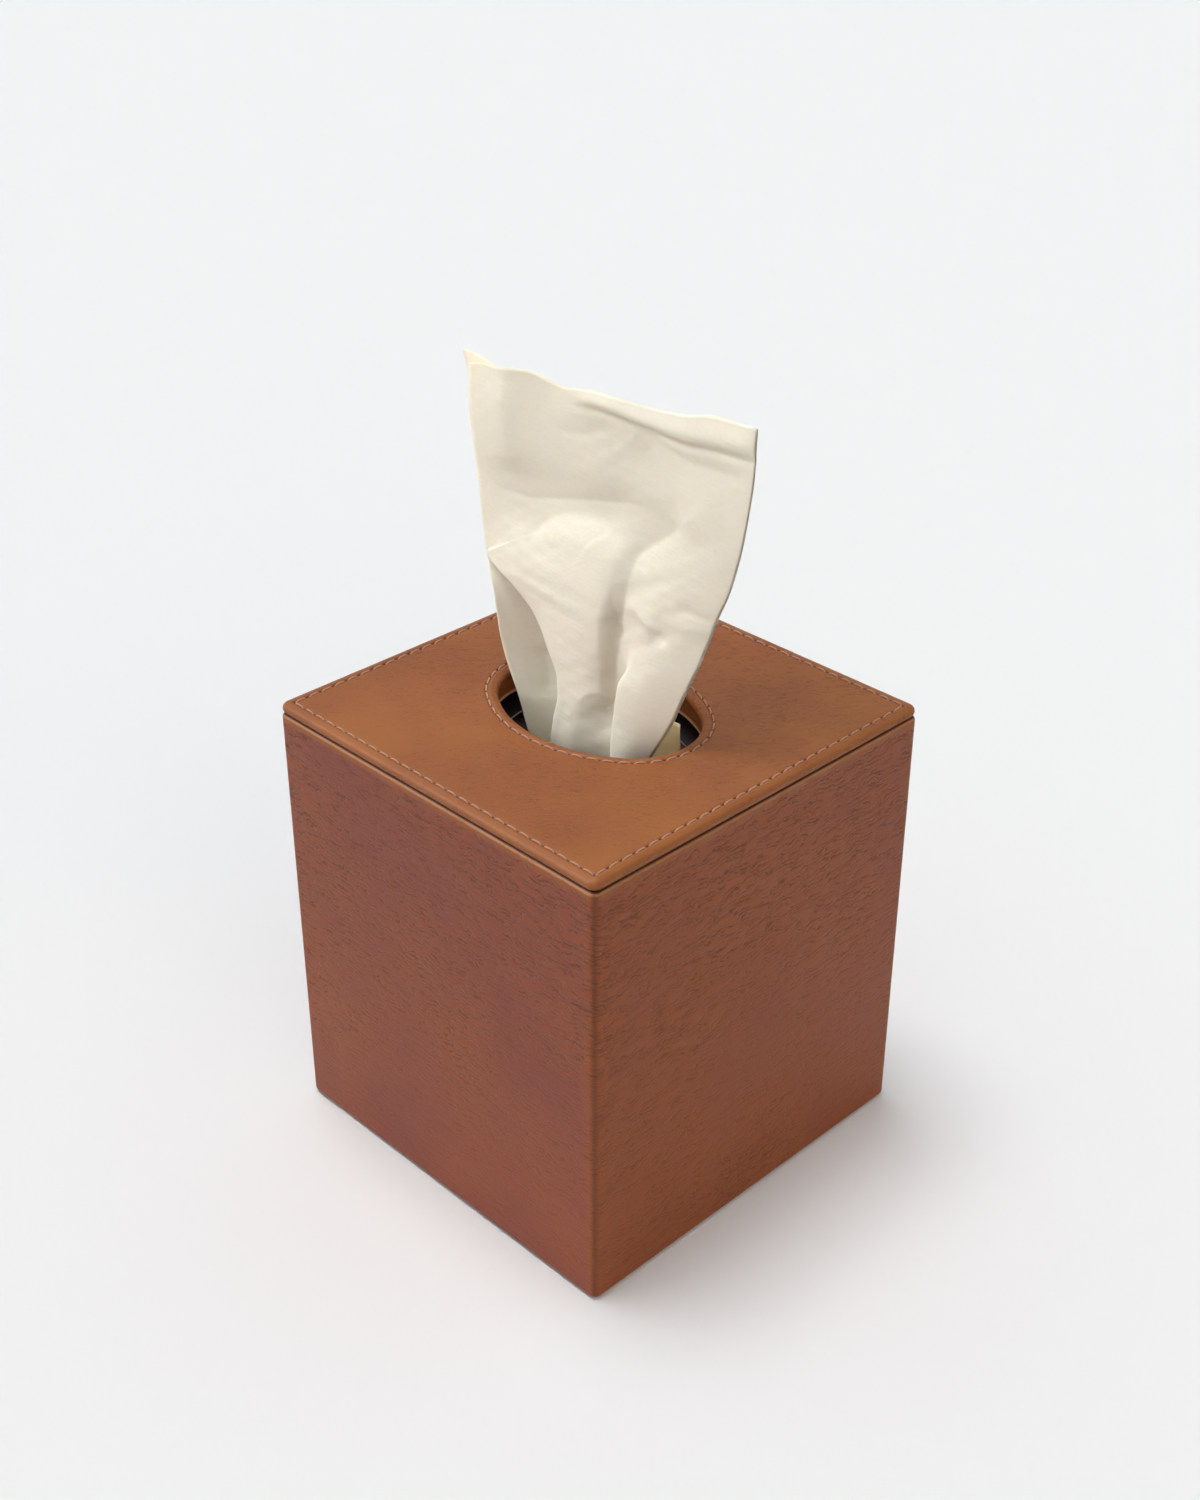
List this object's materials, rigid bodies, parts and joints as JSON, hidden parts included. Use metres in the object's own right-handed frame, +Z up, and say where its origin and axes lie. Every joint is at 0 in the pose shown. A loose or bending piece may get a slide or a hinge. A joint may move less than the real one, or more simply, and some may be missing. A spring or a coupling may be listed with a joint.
{
  "type": "tissue box with lift-off lid",
  "caption": "Cube tissue box covered in grained leather, with a stitched lift-off lid, an oval dispensing hole and a pop-up tissue standing in it.",
  "frame": {"origin": "middle of the underside, on the surface the box stands on", "axes": "+Z up; +X along the oval hole's long axis; -Y is the front face, the picture's left-hand face"},
  "size_m": [0.13, 0.13, 0.2415],
  "materials": {
    "case_leather": "milled grain, satin",
    "lid_leather": "milled grain, satin, stitched",
    "fibreboard": "raw medium-density fibreboard",
    "lining": "dark microfibre",
    "paperboard": "printed paperboard, plain dark",
    "film": "clear polythene film",
    "tissue": "creped soft paper"
  },
  "bodies": {
    "case": {"front_board": "fibreboard", "back_board": "fibreboard", "left_board": "fibreboard", "right_board": "fibreboard", "base_board": "fibreboard", "case_leather": "case_leather", "underside_sheet": "lining", "front_lining": "lining", "back_lining": "lining", "left_lining": "lining", "right_lining": "lining", "base_lining": "lining", "tissue_carton": "paperboard", "carton_film": "film", "tissue_stack": "tissue", "next_tissue": "tissue"},
    "lid": {"lid_board": "fibreboard", "lid_leather": "lid_leather", "locating_board": "fibreboard", "locating_leather": "lid_leather", "lid_lining": "lining"},
    "tissue": {"pulled_tissue": "tissue"}
  },
  "joints": [
    {"name": "lid_lift", "type": "slide", "parent": "case", "child": "lid", "axis": [0, 0, 1], "range_m": [0, 0.12]},
    {"name": "tissue_pull", "type": "slide", "parent": "lid", "child": "tissue", "axis": [0, 0, 1], "range_m": [0, 0.1]}
  ]
}
